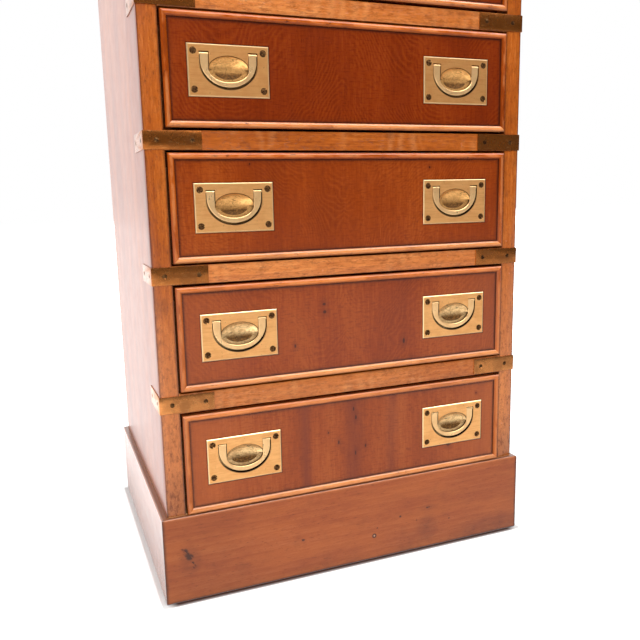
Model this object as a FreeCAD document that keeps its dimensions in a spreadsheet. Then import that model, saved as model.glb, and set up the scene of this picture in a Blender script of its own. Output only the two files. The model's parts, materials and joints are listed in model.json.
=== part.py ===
# A tall campaign chest: six flush drawers between brass-strapped rails, on a plinth.
#
# Millimetres, Z up. The origin is the middle of the chest's footprint, on the floor. Depths in the
# formulas below are measured from the front plane of the carcase, where the stiles and rails lie;
# node() shifts each finished piece, so that the footprint is centred.
import FreeCAD, Part
import os
import re
import Sketcher
from FreeCAD import Placement, Rotation, Vector

DRAWER_COUNT = 6

SIZES = {
    # carcase
    "chest_width": (480, "carcase, outside of the left side to outside of the right side"),
    "chest_depth": (370, "carcase, front of the stiles to the back"),
    "side_thickness": (18, "side panels"),
    "stile_width": (21.6, "front posts, seen from the front"),
    "stile_depth": (20, "front posts, front to back"),
    "top_thickness": (21.1, "top board"),
    "bottom_thickness": (18, "bottom board"),
    "back_thickness": (5, "back panel"),
    "back_rebate": (8, "how far the back panel is let into each side"),
    # plinth
    "plinth_height": (107, "floor to the plinth's top edge"),
    "plinth_thickness": (20, "plinth boards"),
    "plinth_side_proud": (7.5, "plinth beyond the carcase at each side"),
    "plinth_front_proud": (5.5, "plinth beyond the carcase at the front"),
    "plinth_arris": (2, "rounding of the plinth's top outer edge"),
    "block_width": (38, "corner blocks inside the plinth, each way"),
    "block_height": (60, "corner blocks inside the plinth"),
    # rails and runners
    "rail_height": (21.1, "rails between the drawers"),
    "lowest_rail_height": (22.8, "the rail over the lowest drawer"),
    "rail_depth": (60, "rails, front to back"),
    "runner_width": (20, "runners under the drawers' sides"),
    "guide_height": (12, "guide strips beside the drawers' sides"),
    "guide_gap": (0.8, "drawer's side to its guide strip"),
    # drawers
    "front_height": (120.5, "drawer front"),
    "front_thickness": (18, "drawer front"),
    "front_proud": (1.5, "drawer front's face before the carcase's front plane"),
    "stile_gap": (1.8, "drawer front to each stile"),
    "rail_gap": (2.4, "rail's top to the drawer above it"),
    "front_top_gap": (2.5, "top of a drawer front to the rail above it"),
    "plinth_gap": (0.5, "plinth's top edge to the lowest drawer"),
    "bead_width": (7.5, "moulding round the drawer front"),
    "bead_height": (3.4, "moulding, out from the drawer front"),
    "drawer_side_thickness": (9, "drawer sides and back"),
    "drawer_side_drop": (15.5, "top of the drawer sides below the top of the front"),
    "drawer_back_drop": (6, "top of the drawer back below the top of the sides"),
    "drawer_lap": (12, "how far the drawer sides reach into the front"),
    "drawer_end_gap": (1, "drawer's back to the chest's back panel"),
    "tray_thickness": (4, "drawer bottom"),
    "tray_rise": (7, "drawer's lower edge to its bottom panel"),
    "groove_depth": (4, "grooves that hold the drawer bottom"),
    "groove_play": (0.2, "drawer bottom in its grooves"),
    # handle plate
    "plate_width": (91.2, "handle plate"),
    "plate_height": (54.8, "handle plate"),
    "plate_thickness": (2, "handle plate"),
    "plate_proud": (0.6, "plate's face before the drawer front's face"),
    "plate_bevel": (0.9, "bevel round the plate's face"),
    "plate_inset": (72.6, "plate's middle from the end of the drawer front"),
    "plate_play": (0.15, "plate in its shallow bed in the wood"),
    "pan_width": (71, "cast pan behind the plate"),
    "pan_top": (22.4, "pan's upper edge above the plate's middle"),
    "pan_foot": (21.2, "pan's lower edge below the plate's middle"),
    "pan_depth": (10, "plate's face to the back of the pan"),
    "pan_play": (0.4, "pan in its deep bed in the wood"),
    "cup_width": (46, "oval finger cup"),
    "cup_height": (28, "oval finger cup"),
    "cup_depth": (8, "oval finger cup"),
    "cup_lift": (6, "middle of the cup's curve before the plate's face"),
    "cup_rise": (2, "cup's middle above the plate's middle"),
    # bail
    "bail_width": (63.4, "bail, outside"),
    "bail_thickness": (3.6, "bail, front to back"),
    "bail_arm": (9.2, "width of each arm"),
    "bail_foot": (5.7, "width of the bottom of the bow"),
    "bail_axis_rise": (17.2, "hinge line above the plate's middle"),
    "bail_bend_rise": (11, "where the arms start to bend, above the plate's middle"),
    "bail_foot_drop": (17.2, "bottom of the bow below the plate's middle"),
    "bail_sink": (0.3, "bail's face behind the plate's face"),
    "bail_edge": (1, "rounding of the bail's front edges"),
    "bail_side_gap": (0.9, "bail to the sides of its recess"),
    "bail_foot_gap": (1.6, "bail to the bottom of its recess"),
    "bail_end_gap": (0.8, "arm's end to the top of its slot"),
    "bail_back_gap": (0.4, "bail to the floor of its recess"),
    "bail_inner_gap": (0.5, "arm to the flat between the arms"),
    "spigot_radius": (1.1, "hinge spigots of the bail"),
    "spigot_length": (2.4, "hinge spigots of the bail"),
    "spigot_play": (0.08, "spigot in its bore"),
    # straps
    "strap_thickness": (1.2, "brass straps and corners"),
    "strap_height": (20, "straps round the rails"),
    "strap_leg": (62.5, "each leg of a strap or corner, along the wood"),
    "corner_width": (20, "top legs of the corners"),
    # screws
    "plate_screw_head": (7.5, "plate screws, head"),
    "plate_screw_shank": (3, "plate screws, shank"),
    "plate_screw_length": (12, "plate screws"),
    "plate_screw_across": (39, "plate screws, from the plate's middle"),
    "plate_screw_up": (20, "plate screws, from the plate's middle"),
    "strap_screw_head": (5.4, "strap screws, head"),
    "strap_screw_shank": (2.4, "strap screws, shank"),
    "strap_screw_length": (11, "strap screws"),
    "strap_screw_near": (13.5, "first strap screw from the outer corner"),
    "strap_screw_far": (52, "second strap screw from the outer corner"),
    "screw_dome": (0.35, "screw heads, out from the brass"),
    "screw_slot": (0.8, "slot of a screw head, width and depth"),
    "screw_play": (0.05, "screw in its hole"),
}

doc = FreeCAD.newDocument("campaign_chest")
sheet = doc.addObject("Spreadsheet::Sheet", "Sizes")
for row, (alias, (number, meaning)) in enumerate(SIZES.items(), 1):
    sheet.set(f"A{row}", meaning)
    sheet.set(f"B{row}", str(number))
    sheet.setAlias(f"B{row}", alias)
doc.recompute()

# places that several pieces share, as formulas on the sheet
FRONT = "((plinth_front_proud - chest_depth) / 2)"
OUTSIDE = "chest_width / 2"
SIDE_INSIDE = "(chest_width / 2 - side_thickness)"
STILE_INSIDE = "(chest_width / 2 - stile_width)"
BACK_INSIDE = "(chest_depth - back_thickness)"
FLOOR_LEVEL = "(plinth_height + plinth_gap)"
SEAT_LEVEL = f"({FLOOR_LEVEL} - bottom_thickness)"
PITCH = "(rail_gap + front_height + front_top_gap + rail_height)"
TOP_LEVEL = f"(plinth_height + {DRAWER_COUNT} * {PITCH})"
CARCASE_TOP = f"({TOP_LEVEL} - top_thickness)"
PLINTH_OUTSIDE = "(chest_width / 2 + plinth_side_proud)"
PLINTH_INSIDE = f"({PLINTH_OUTSIDE} - plinth_thickness)"
PLINTH_FRONT_INSIDE = "(plinth_thickness - plinth_front_proud)"
FRONT_HALF = f"({STILE_INSIDE} - stile_gap)"
FRONT_FACE = "(-front_proud)"
FRONT_REAR = "(front_thickness - front_proud)"
BOX_INSIDE = f"({FRONT_HALF} - drawer_side_thickness)"
BOX_END = f"({BACK_INSIDE} - drawer_end_gap)"
PLATE_FACE = "(-front_proud - plate_proud)"
PLATE_LEVEL = "(front_height / 2)"
BAIL_AXIS_DEPTH = "(bail_sink + bail_thickness / 2)"
RECESS_FLOOR = "(bail_sink + bail_thickness + bail_back_gap)"
RECESS_HALF = "(bail_width / 2 + bail_side_gap)"
ISLAND_HALF = "(bail_width / 2 - bail_arm - bail_inner_gap)"
SLOT_TOP = "(bail_axis_rise + bail_thickness / 2 + bail_end_gap)"

SIDES = (("left", -1), ("right", 1))


def formula(text):
    """Point each size's name in the text at its cell."""
    return re.sub(r"[a-z]\w*", lambda found: "Sizes." + found[0] if found[0] in SIZES else found[0], text)


def value(text):
    return float(sheet.evalExpression(formula(text)))


def rail_level(number):
    """The top of the rail under a drawer; drawer 1 is the uppermost."""
    return f"(plinth_height + {DRAWER_COUNT - number} * {PITCH})"


def drawer_level(number):
    return FLOOR_LEVEL if number == DRAWER_COUNT else f"({rail_level(number)} + rail_gap)"


def bind(thing, settings):
    for path, text in settings.items():
        thing.setExpression(path, formula(text))
    return thing


def add(kind, label):
    thing = doc.addObject(kind, label)
    thing.Label = label
    return thing


def placed(label, pieces, x="0", y="0", z="0", turn=None):
    """The pieces together, turned about their own origin and then moved by formulas."""
    bundle = add("Part::Compound", label)
    bundle.Links = pieces
    if turn is not None:
        bundle.Placement = Placement(Vector(), turn)
    return bind(bundle, {"Placement.Base.x": x, "Placement.Base.y": y, "Placement.Base.z": z})


nodes = []


def node(label, pieces, x="0", y="0", z="0"):
    """A piece of the chest that is written out under its own name."""
    nodes.append(placed(label, pieces, x, f"{y} + {FRONT}", z))


def block(label, across, deep, upright):
    """A squared piece between pairs of formulas."""
    box = add("Part::Box", label)
    for size, place, (low, high) in zip(("Length", "Width", "Height"), "xyz", (across, deep, upright)):
        bind(box, {size: f"({high}) - ({low})", f"Placement.Base.{place}": low})
    return box


def side_block(label, sign, across, deep, upright):
    """A squared piece on the left (-1) or right (+1), between two distances from the middle."""
    inner, outer = across
    return block(label, (inner, outer) if sign > 0 else (f"-({outer})", f"-({inner})"), deep, upright)


def fuse(label, pieces):
    whole = add("Part::MultiFuse", label)
    whole.Shapes = pieces
    return whole


def cut(label, base, tools):
    """The base less its tools; tools may overlap each other."""
    result = add("Part::Cut", label)
    result.Base = base
    result.Tool = tools[0] if len(tools) == 1 else fuse(label + "_tools", tools)
    return result


def common(label, base, tool):
    result = add("Part::Common", label)
    result.Base = base
    result.Tool = tool
    return result


def plane_of(body, role):
    return next(item for item in body.Origin.OriginFeatures if item.Role == role)


def outline(body, role, corners, height="0"):
    """A closed sketch of straight lines; each corner is held to the origin by two formulas."""
    sketch = body.newObject("Sketcher::SketchObject", body.Name + "_outline")
    sketch.AttachmentSupport = [(plane_of(body, role), "")]
    sketch.MapMode = "FlatFace"
    if height != "0":
        bind(sketch, {"AttachmentOffset.Base.z": height})
    points = [Vector(value(x), value(y), 0) for x, y in corners]
    for index, start in enumerate(points):
        sketch.addGeometry(Part.LineSegment(start, points[(index + 1) % len(points)]), False)
    for index, corner in enumerate(corners):
        sketch.addConstraint(Sketcher.Constraint("Coincident", index, 2, (index + 1) % len(corners), 1))
        for kind, text in zip(("DistanceX", "DistanceY"), corner):
            row = sketch.addConstraint(Sketcher.Constraint(kind, -1, 1, index, 1, value(text)))
            sketch.renameConstraint(row, f"{kind}_{index}")
            bind(sketch, {f"Constraints.{kind}_{index}": text})
    return sketch


def pad(body, sketch, length, reverse=False):
    feature = body.newObject("PartDesign::Pad", body.Name + "_pad")
    feature.Profile = sketch
    feature.Reversed = reverse
    bind(feature, {"Length": length})
    doc.recompute()
    return feature


def dress(body, kind, base, radius, test):
    """A Fillet or Chamfer on every edge of the base whose ends all pass the test."""
    edges = [
        f"Edge{number}" for number, edge in enumerate(base.Shape.Edges, 1)
        if all(test(vertex.Point) for vertex in edge.Vertexes)
    ]
    feature = body.newObject(f"PartDesign::{kind}", body.Name + "_edges")
    feature.Base = (base, edges)
    return bind(feature, {"Radius" if kind == "Fillet" else "Size": radius})


def same(one, other):
    return abs(one - other) < 1e-6


# ---------------------------------------------------------------------------- screws


def turned_screw(label, head, shank, length, brass):
    """A countersunk slotted screw along +Y, its rim level with the brass at y = 0."""
    body = add("PartDesign::Body", label + "_turned")
    profile = outline(body, "XY_Plane", (
        ("0", "-screw_dome"),
        (f"{head} / 4", "-screw_dome * 3 / 4"),
        (f"{head} / 2", "0"),
        (f"{shank} / 2", brass),
        (f"{shank} / 2", f"{length} - {shank} / 2"),
        ("0", length),
    ))
    turning = body.newObject("PartDesign::Revolution", label + "_turning")
    turning.Profile = profile
    turning.ReferenceAxis = (profile, ["V_Axis"])
    turning.Angle = 360
    slot = block(
        label + "_slot",
        (f"-{head}", head), ("-screw_dome", "screw_slot"), ("-screw_slot / 2", "screw_slot / 2"),
    )
    return cut(label, body, [slot])


def along_y(label, kind, settings):
    """A round cutter along +Y."""
    cutter = add(kind, label)
    cutter.Placement = Placement(Vector(), Rotation(Vector(1, 0, 0), -90))
    return bind(cutter, settings)


def wood_hole(label, shank, length):
    radius = f"{shank} / 2 + screw_play"
    return along_y(label, "Part::Cylinder", {"Radius": radius, "Height": f"{length} + screw_slot"})


def countersink(label, head, shank, brass):
    radii = {"Radius1": f"{head} / 2 + screw_play", "Radius2": f"{shank} / 2 + screw_play"}
    return along_y(label, "Part::Cone", {**radii, "Height": brass})


plate_screw = turned_screw(
    "plate_screw", "plate_screw_head", "plate_screw_shank", "plate_screw_length", "plate_thickness")
strap_screw = turned_screw(
    "strap_screw", "strap_screw_head", "strap_screw_shank", "strap_screw_length", "strap_thickness")
plate_screw_hole = wood_hole("plate_screw_hole", "plate_screw_shank", "plate_screw_length")
strap_screw_hole = wood_hole("strap_screw_hole", "strap_screw_shank", "strap_screw_length")
plate_sink = countersink("plate_sink", "plate_screw_head", "plate_screw_shank", "plate_thickness")
strap_sink = countersink("strap_sink", "strap_screw_head", "strap_screw_shank", "strap_thickness")

SLOT_STEP = 67  # degrees that each screw's slot is turned on from the last one's
ALONG_X = Rotation(Vector(0, 1, 0), 90)
INWARD = {-1: Rotation(Vector(0, 0, 1), -90), 1: Rotation(Vector(0, 0, 1), 90)}
DOWNWARD = Rotation(Vector(1, 0, 0), -90)
FORWARD = Rotation()


class Fixings:
    """The strap screws: the wood and the brass that each goes through, its place and its direction."""

    def __init__(self):
        self.spots = []

    def at(self, wood, brass, place, turn):
        self.spots.append((wood, brass, place, turn))

    def holes(self, wood):
        return self._placed(strap_screw_hole, "hole", [spot for spot in self.spots if spot[0] == wood])

    def sinks(self, brass):
        return self._placed(strap_sink, "sink", [spot for spot in self.spots if spot[1] == brass])

    def screws(self):
        return self._placed(strap_screw, "screw", self.spots, SLOT_STEP)

    @staticmethod
    def _placed(pattern, kind, spots, slot_step=0):
        pieces = []
        for index, (_, brass, place, turn) in enumerate(spots):
            slot = Rotation(Vector(0, 1, 0), index * slot_step)
            pieces.append(placed(f"{brass}_{kind}_{index}", [pattern], *place, turn.multiply(slot)))
        return pieces


RAILS = range(1, DRAWER_COUNT)


def rail_size(number):
    return "lowest_rail_height" if number == RAILS[-1] else "rail_height"


def rail_middle(number):
    return f"({rail_level(number)} - {rail_size(number)} / 2)"


fixings = Fixings()
for side, sign in SIDES:
    wraps = [(f"{side}_strap_{number}", f"{side}_stile", f"rail_{number}", f"{side}_side", rail_middle(number))
             for number in RAILS]
    corner = f"{side}_corner"
    wraps.append((corner, "top_board", "top_board", "top_board", f"({TOP_LEVEL} - top_thickness / 2)"))
    outer_face = f"{sign} * (chest_width / 2 + strap_thickness)"
    for brass, post, rail, panel, level in wraps:
        for wood, inset in ((post, "strap_screw_near"), (rail, "strap_screw_far")):
            across = f"{sign} * (chest_width / 2 - {inset})"
            fixings.at(wood, brass, (across, "-strap_thickness", level), FORWARD)
        for wood, inset in ((post, "strap_screw_near"), (panel, "strap_screw_far")):
            fixings.at(wood, brass, (outer_face, inset, level), INWARD[sign])
    centre = "corner_width / 2"
    along = "(strap_screw_near + strap_screw_far) / 2"
    for inset, back in ((centre, centre), (along, centre), (centre, along)):
        across = f"{sign} * (chest_width / 2 - {inset})"
        fixings.at("top_board", corner, (across, back, f"{TOP_LEVEL} + strap_thickness"), DOWNWARD)

# ---------------------------------------------------------------------------- carcase

BACK_HALF = f"({SIDE_INSIDE} + back_rebate)"
BETWEEN_BOARDS = (FLOOR_LEVEL, CARCASE_TOP)
for side, sign in SIDES:
    panel = side_block(
        f"{side}_panel_board", sign, (SIDE_INSIDE, OUTSIDE), ("stile_depth", "chest_depth"), BETWEEN_BOARDS)
    rebate = side_block(
        f"{side}_back_rebate", sign, (SIDE_INSIDE, BACK_HALF), (BACK_INSIDE, "chest_depth"), BETWEEN_BOARDS)
    node(f"{side}_side", [cut(f"{side}_panel", panel, [rebate, *fixings.holes(f"{side}_side")])])
    post = side_block(f"{side}_post_board", sign, (STILE_INSIDE, OUTSIDE), ("0", "stile_depth"), BETWEEN_BOARDS)
    node(f"{side}_stile", [cut(f"{side}_post", post, fixings.holes(f"{side}_stile"))])

WIDE = (f"-{OUTSIDE}", OUTSIDE)
top = block("top_plank", WIDE, ("0", "chest_depth"), (CARCASE_TOP, TOP_LEVEL))
node("top_board", [cut("top_drilled", top, fixings.holes("top_board"))])
node("bottom_board", [block("bottom_plank", WIDE, ("0", "chest_depth"), (SEAT_LEVEL, FLOOR_LEVEL))])
back_sheet = block("back_sheet", (f"-{BACK_HALF}", BACK_HALF), (BACK_INSIDE, "chest_depth"), BETWEEN_BOARDS)
node("back_panel", [back_sheet])

rails = []
for number in RAILS:
    rail = block(
        f"rail_{number}_board", (f"-{STILE_INSIDE}", STILE_INSIDE), ("0", "rail_depth"),
        (f"{rail_level(number)} - {rail_size(number)}", rail_level(number)))
    rails.append(cut(f"rail_{number}", rail, fixings.holes(f"rail_{number}")))
node("drawer_rails", rails)

runners = []
guides = []
for side, sign in SIDES:
    for number in range(1, DRAWER_COUNT + 1):
        level = drawer_level(number)
        lowest = number == DRAWER_COUNT
        start = "stile_depth" if lowest else "rail_depth"
        if not lowest:
            runners.append(side_block(
                f"{side}_runner_{number}", sign, (f"{SIDE_INSIDE} - runner_width", SIDE_INSIDE),
                ("rail_depth", BACK_INSIDE), (f"{rail_level(number)} - {rail_size(number)}", level)))
        guides.append(side_block(
            f"{side}_guide_{number}", sign, (f"{FRONT_HALF} + guide_gap", SIDE_INSIDE),
            (start, BACK_INSIDE), (level, f"{level} + guide_height")))
node("drawer_runners", runners)
node("drawer_guides", guides)

# ---------------------------------------------------------------------------- plinth


def plinth_board(label, footing, lip, outer_edge):
    """A board with its inner edge cut down as a seat for the carcase, and its top edge rounded."""
    body = add("PartDesign::Body", label + "_board")
    pad(body, outline(body, "XY_Plane", footing), SEAT_LEVEL)
    whole = pad(body, outline(body, "XY_Plane", lip, SEAT_LEVEL), f"plinth_height - {SEAT_LEVEL}")
    dress(body, "Fillet", whole, "plinth_arris", outer_edge)
    node(label, [body])


PLINTH_FRONT = "-plinth_front_proud"
MITRE_AT_LIP = f"({PLINTH_OUTSIDE} - plinth_front_proud)"
PLINTH_BACK_INSIDE = "(chest_depth - plinth_thickness)"
plinth_top = value("plinth_height")
plinth_front = value(PLINTH_FRONT)
plinth_side = value(PLINTH_OUTSIDE)
front_edge = ((f"-{PLINTH_OUTSIDE}", PLINTH_FRONT), (PLINTH_OUTSIDE, PLINTH_FRONT))
plinth_board(
    "plinth_front",
    (*front_edge, (PLINTH_INSIDE, PLINTH_FRONT_INSIDE), (f"-{PLINTH_INSIDE}", PLINTH_FRONT_INSIDE)),
    (*front_edge, (MITRE_AT_LIP, "0"), (f"-{MITRE_AT_LIP}", "0")),
    lambda point: same(point.z, plinth_top) and same(point.y, plinth_front),
)
for side, sign in SIDES:
    far = f"{sign} * {PLINTH_OUTSIDE}"
    inward = f"{sign} * {PLINTH_INSIDE}"
    plinth_board(
        f"plinth_{side}",
        ((far, PLINTH_FRONT), (inward, PLINTH_FRONT_INSIDE), (inward, "chest_depth"), (far, "chest_depth")),
        ((far, PLINTH_FRONT), (f"{sign} * {MITRE_AT_LIP}", "0"), (f"{sign} * {OUTSIDE}", "0"),
         (f"{sign} * {OUTSIDE}", "chest_depth"), (far, "chest_depth")),
        lambda point: same(point.z, plinth_top) and same(abs(point.x), plinth_side),
    )
back_board = block(
    "plinth_back_board", (f"-{PLINTH_INSIDE}", PLINTH_INSIDE), (PLINTH_BACK_INSIDE, "chest_depth"), ("0", SEAT_LEVEL))
node("plinth_back", [back_board])
blocks = []
for side, sign in SIDES:
    for end, deep in (
        ("front", (PLINTH_FRONT_INSIDE, f"{PLINTH_FRONT_INSIDE} + block_width")),
        ("back", (f"{PLINTH_BACK_INSIDE} - block_width", PLINTH_BACK_INSIDE)),
    ):
        blocks.append(side_block(
            f"{side}_{end}_block", sign, (f"{PLINTH_INSIDE} - block_width", PLINTH_INSIDE),
            deep, (f"{SEAT_LEVEL} - block_height", SEAT_LEVEL)))
node("plinth_blocks", blocks)

# ---------------------------------------------------------------------------- straps and corners


def wrap(body, sign, depth, lower, height):
    """An L round a front corner of the carcase: two legs, each from the brass's face to a depth."""
    outer = "(chest_width / 2 + strap_thickness)"
    end = f"{sign} * (chest_width / 2 - strap_leg)"
    inner = f"{sign} * ({outer} - {depth})"
    shape = (
        (f"{sign} * {outer}", "-strap_thickness"),
        (end, "-strap_thickness"),
        (end, f"{depth} - strap_thickness"),
        (inner, f"{depth} - strap_thickness"),
        (inner, "strap_leg"),
        (f"{sign} * {outer}", "strap_leg"),
    )
    pad(body, outline(body, "XY_Plane", shape, lower), height)


straps = []
corners = []
for side, sign in SIDES:
    for number in RAILS:
        label = f"{side}_strap_{number}"
        strap = add("PartDesign::Body", label + "_bent")
        wrap(strap, sign, "strap_thickness", f"{rail_middle(number)} - strap_height / 2", "strap_height")
        straps.append(cut(label, strap, fixings.sinks(label)))
    label = f"{side}_corner"
    corner = add("PartDesign::Body", label + "_cast")
    wrap(corner, sign, "strap_thickness", CARCASE_TOP, "top_thickness")
    wrap(corner, sign, "(corner_width + strap_thickness)", TOP_LEVEL, "strap_thickness")
    corners.append(cut(label, corner, fixings.sinks(label)))
node("brass_straps", straps)
node("brass_corners", corners)
node("strap_screws", fixings.screws())

# ---------------------------------------------------------------------------- drawer, wood
# The pieces of one drawer stand with the lower edge of its front at z = 0.

PLATE_SIDES = (("left", f"(plate_inset - {FRONT_HALF})"), ("right", f"({FRONT_HALF} - plate_inset)"))
SCREW_SPOTS = [
    (f"{across} * plate_screw_across", f"{up} * plate_screw_up") for across in (-1, 1) for up in (-1, 1)]
TRAY_TOP = "(tray_rise + tray_thickness)"
TRAY_GROOVE = ("tray_rise", f"{TRAY_TOP} + groove_play")
WALL_DEPTHS = (f"{FRONT_REAR} - drawer_lap", BOX_END)
WALL_TOP = "(front_height - drawer_side_drop)"
WALL_HEIGHTS = ("0", WALL_TOP)


def plate_bed(label, middle, half_width, depth, heights):
    return block(label, (f"{middle} - {half_width}", f"{middle} + {half_width}"), (PLATE_FACE, depth), heights)


cuts = []
for side, middle in PLATE_SIDES:
    cuts.append(plate_bed(
        f"{side}_plate_bed", middle, "(plate_width / 2 + plate_play)", f"{PLATE_FACE} + plate_thickness",
        (f"{PLATE_LEVEL} - plate_height / 2 - plate_play", f"{PLATE_LEVEL} + plate_height / 2 + plate_play")))
    cuts.append(plate_bed(
        f"{side}_pan_bed", middle, "(pan_width / 2 + pan_play)", f"{PLATE_FACE} + pan_depth + pan_play",
        (f"{PLATE_LEVEL} - pan_foot - pan_play", f"{PLATE_LEVEL} + pan_top + pan_play")))
    for index, (across, up) in enumerate(SCREW_SPOTS):
        spot = (f"{middle} + {across}", PLATE_FACE, f"{PLATE_LEVEL} + {up}")
        cuts.append(placed(f"{side}_plate_hole_{index}", [plate_screw_hole], *spot))
for side, sign in SIDES:
    cuts.append(side_block(f"{side}_lap", sign, (BOX_INSIDE, FRONT_HALF), WALL_DEPTHS, WALL_HEIGHTS))
front_groove = block(
    "front_groove", (f"-{BOX_INSIDE}", BOX_INSIDE), (f"{FRONT_REAR} - groove_depth", FRONT_REAR), TRAY_GROOVE)
front_board = block("front_board", (f"-{FRONT_HALF}", FRONT_HALF), (FRONT_FACE, FRONT_REAR), ("0", "front_height"))
drawer_front = cut("drawer_front", front_board, [*cuts, front_groove])

# The moulding is mitred at the corners; its back is flat, its face part of a cylinder.
bead_radius = "(bead_width * bead_width / 4 + bead_height * bead_height) / (2 * bead_height)"
far = FRONT_HALF
near = f"({FRONT_HALF} - bead_width)"
high = "(front_height - bead_width)"
outside = ((f"-{far}", "0"), (far, "0"), (far, "front_height"), (f"-{far}", "front_height"))
inside = ((f"-{near}", "bead_width"), (near, "bead_width"), (near, high), (f"-{near}", high))
lines = (
    ("lower", f"-{far}", "bead_width / 2"), ("right", f"{far} - bead_width / 2", "0"),
    ("upper", f"-{far}", "front_height - bead_width / 2"), ("left", f"-({far} - bead_width / 2)", "0"),
)
beads = []
for index, (name, x, z) in enumerate(lines):
    following = (index + 1) % len(lines)
    strip = add("PartDesign::Body", f"{name}_bead_strip")
    shape = (outside[index], outside[following], inside[following], inside[index])
    pad(strip, outline(strip, "XZ_Plane", shape, "front_proud"), "bead_height")
    rod = add("Part::Cylinder", f"{name}_bead_round")
    if name in ("lower", "upper"):
        rod.Placement = Placement(Vector(), ALONG_X)
        length = f"2 * {far}"
    else:
        length = "front_height"
    bind(rod, {
        "Radius": bead_radius, "Height": length, "Placement.Base.x": x,
        "Placement.Base.y": f"{FRONT_FACE} - bead_height + {bead_radius}", "Placement.Base.z": z})
    beads.append(common(f"{name}_bead", strip, rod))

box = []
for side, sign in SIDES:
    board = side_block(f"{side}_wall_board", sign, (BOX_INSIDE, FRONT_HALF), WALL_DEPTHS, WALL_HEIGHTS)
    groove = side_block(
        f"{side}_groove", sign, (BOX_INSIDE, f"{BOX_INSIDE} + groove_depth"), WALL_DEPTHS, TRAY_GROOVE)
    box.append(cut(f"{side}_wall", board, [groove]))
TRAY_HALF = f"({BOX_INSIDE} + groove_depth - groove_play)"
box.append(block(
    "tray", (f"-{TRAY_HALF}", TRAY_HALF),
    (f"{FRONT_REAR} - groove_depth + groove_play", BOX_END), ("tray_rise", TRAY_TOP)))
box.append(block(
    "rear_wall", (f"-{BOX_INSIDE}", BOX_INSIDE), (f"{BOX_END} - drawer_side_thickness", BOX_END),
    (TRAY_TOP, f"{WALL_TOP} - drawer_back_drop")))

# ---------------------------------------------------------------------------- handles
# A handle stands with its plate's face at y = 0 and its plate's middle at the origin.


def bow_block(label, half_width, upright, bend, deep):
    """A D-shaped slab: straight sides from its top down to the bend, then half an oval to its foot."""
    wide, bend = value(half_width), value(bend)
    foot, top = map(value, upright)
    front, rear = map(value, deep)
    drop = bend - foot
    oval = Part.Ellipse(Vector(), max(wide, drop), min(wide, drop))
    slab = Part.Face(Part.Wire(oval.toShape())).extrude(Vector(0, 0, front - rear))
    if drop > wide:
        slab.rotate(Vector(), Vector(0, 0, 1), 90)
    slab.rotate(Vector(), Vector(1, 0, 0), 90)
    slab.translate(Vector(0, front, bend))
    lower = slab.common(Part.makeBox(2 * wide, rear - front, drop, Vector(-wide, front, foot)))
    upper = Part.makeBox(2 * wide, rear - front, top - bend, Vector(-wide, front, bend))
    bow = add("Part::Feature", label)
    bow.Shape = lower.fuse(upper).removeSplitter()
    return bow


def hinge_rod(label, radius, start, length):
    """A round bar along the hinge line."""
    rod = add("Part::Cylinder", label)
    rod.Placement = Placement(Vector(), ALONG_X)
    return bind(rod, {
        "Radius": radius, "Height": length, "Placement.Base.x": start,
        "Placement.Base.y": BAIL_AXIS_DEPTH, "Placement.Base.z": "bail_axis_rise"})


blank = add("PartDesign::Body", "plate_blank")
rectangle = [(f"{x} * plate_width / 2", f"{z} * plate_height / 2") for x, z in ((-1, -1), (1, -1), (1, 1), (-1, 1))]
slab = pad(blank, outline(blank, "XZ_Plane", rectangle), "plate_thickness", reverse=True)
dress(blank, "Chamfer", slab, "plate_bevel", lambda point: same(point.y, 0))
pan = block(
    "pan", ("-pan_width / 2", "pan_width / 2"), ("plate_thickness / 2", "pan_depth"), ("-pan_foot", "pan_top"))
recess_bow = bow_block(
    "recess_bow", RECESS_HALF, ("-bail_foot_drop - bail_foot_gap", SLOT_TOP), "bail_bend_rise", ("0", RECESS_FLOOR))
island = block("island", (f"-{ISLAND_HALF}", ISLAND_HALF), ("0", RECESS_FLOOR), ("cup_rise", SLOT_TOP))
recess = cut("recess", recess_bow, [island])
cup = add("Part::Ellipsoid", "cup")
cup.Angle1 = -90
cup.Angle2 = 90
CUP_SPREAD = "sqrt(1 - (cup_lift / (cup_depth + cup_lift)) ^ 2)"  # the oval on the face against the widest oval
bind(cup, {
    "Radius1": f"cup_height / 2 / {CUP_SPREAD}", "Radius2": f"cup_width / 2 / {CUP_SPREAD}",
    "Radius3": "cup_depth + cup_lift", "Placement.Base.y": "-cup_lift", "Placement.Base.z": "cup_rise"})
BORE_DEPTH = "(spigot_length + spigot_play)"
bores = [
    hinge_rod("left_bore", "spigot_radius + spigot_play", f"-bail_width / 2 - {BORE_DEPTH}", BORE_DEPTH),
    hinge_rod("right_bore", "spigot_radius + spigot_play", "bail_width / 2", BORE_DEPTH),
]
sinks = [
    placed(f"plate_sink_{index}", [plate_sink], across, "0", up) for index, (across, up) in enumerate(SCREW_SPOTS)]
handle_plate = cut("handle_plate", fuse("plate_and_pan", [blank, pan]), [recess, cup, *bores, *sinks])

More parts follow.
